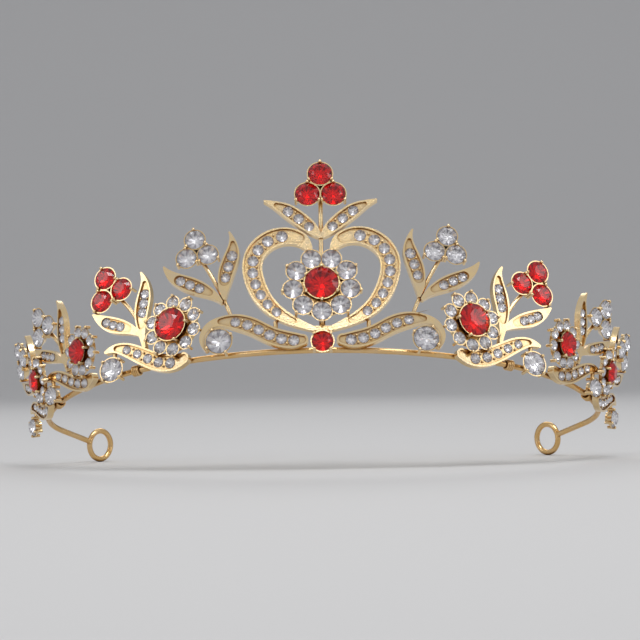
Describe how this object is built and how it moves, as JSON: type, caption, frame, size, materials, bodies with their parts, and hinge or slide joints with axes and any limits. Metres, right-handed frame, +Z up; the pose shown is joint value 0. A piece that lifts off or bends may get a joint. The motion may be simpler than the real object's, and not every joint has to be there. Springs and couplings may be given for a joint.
{
  "type": "tiara",
  "caption": "Rigid openwork headpiece: a heart and flower centre, scrolls, leaves and flowers set with clear and red stones, on a pitched wire band with an eye at each end",
  "frame": {"origin": "centre of the footprint of the bounding box, on the surface that the two wire eyes rest on", "axes": "+Z up; -Y the front, where the heart faces; +X to the wearer's left, across the tiara; the band is pitched up towards the front, as worn"},
  "size_m": [0.1806, 0.0756, 0.0842],
  "materials": {
    "gold_alloy": "polished cast alloy with a pale champagne gold plating, slightly grainy in the recesses",
    "gold_wire": "polished pale gold wire",
    "red_stone": "deep red faceted glass with a foil back",
    "clear_stone": "clear faceted glass with a foil back"
  },
  "bodies": {
    "root": {"band_wire": "gold_alloy", "base_ruby": "red_stone", "crest_casting": "gold_alloy", "crest_pave": "clear_stone", "crest_rubies": "red_stone", "heart_casting": "gold_alloy", "heart_flower_petals": "clear_stone", "heart_flower_ruby": "red_stone", "heart_pave": "clear_stone", "left_inner_casting": "gold_alloy", "left_inner_cluster": "red_stone", "left_inner_drop": "clear_stone", "left_inner_pave": "clear_stone", "left_inner_petals": "clear_stone", "left_inner_ruby": "red_stone", "left_inner_tie": "gold_wire", "left_middle_casting": "gold_alloy", "left_middle_cluster": "clear_stone", "left_middle_drop": "clear_stone", "left_middle_pave": "clear_stone", "left_middle_petals": "clear_stone", "left_middle_ruby": "red_stone", "left_outer_casting": "gold_alloy", "left_outer_cluster": "clear_stone", "left_outer_drop": "clear_stone", "left_outer_pave": "clear_stone", "left_outer_petals": "clear_stone", "left_outer_ruby": "red_stone", "left_outer_tie": "gold_wire", "left_wing_casting": "gold_alloy", "left_wing_cluster": "clear_stone", "left_wing_drop": "clear_stone", "left_wing_pave": "clear_stone", "right_inner_casting": "gold_alloy", "right_inner_cluster": "red_stone", "right_inner_drop": "clear_stone", "right_inner_pave": "clear_stone", "right_inner_petals": "clear_stone", "right_inner_ruby": "red_stone", "right_inner_tie": "gold_wire", "right_middle_casting": "gold_alloy", "right_middle_cluster": "clear_stone", "right_middle_drop": "clear_stone", "right_middle_pave": "clear_stone", "right_middle_petals": "clear_stone", "right_middle_ruby": "red_stone", "right_outer_casting": "gold_alloy", "right_outer_cluster": "clear_stone", "right_outer_drop": "clear_stone", "right_outer_pave": "clear_stone", "right_outer_petals": "clear_stone", "right_outer_ruby": "red_stone", "right_outer_tie": "gold_wire", "right_wing_casting": "gold_alloy", "right_wing_cluster": "clear_stone", "right_wing_drop": "clear_stone", "right_wing_pave": "clear_stone"}
  },
  "joints": []
}
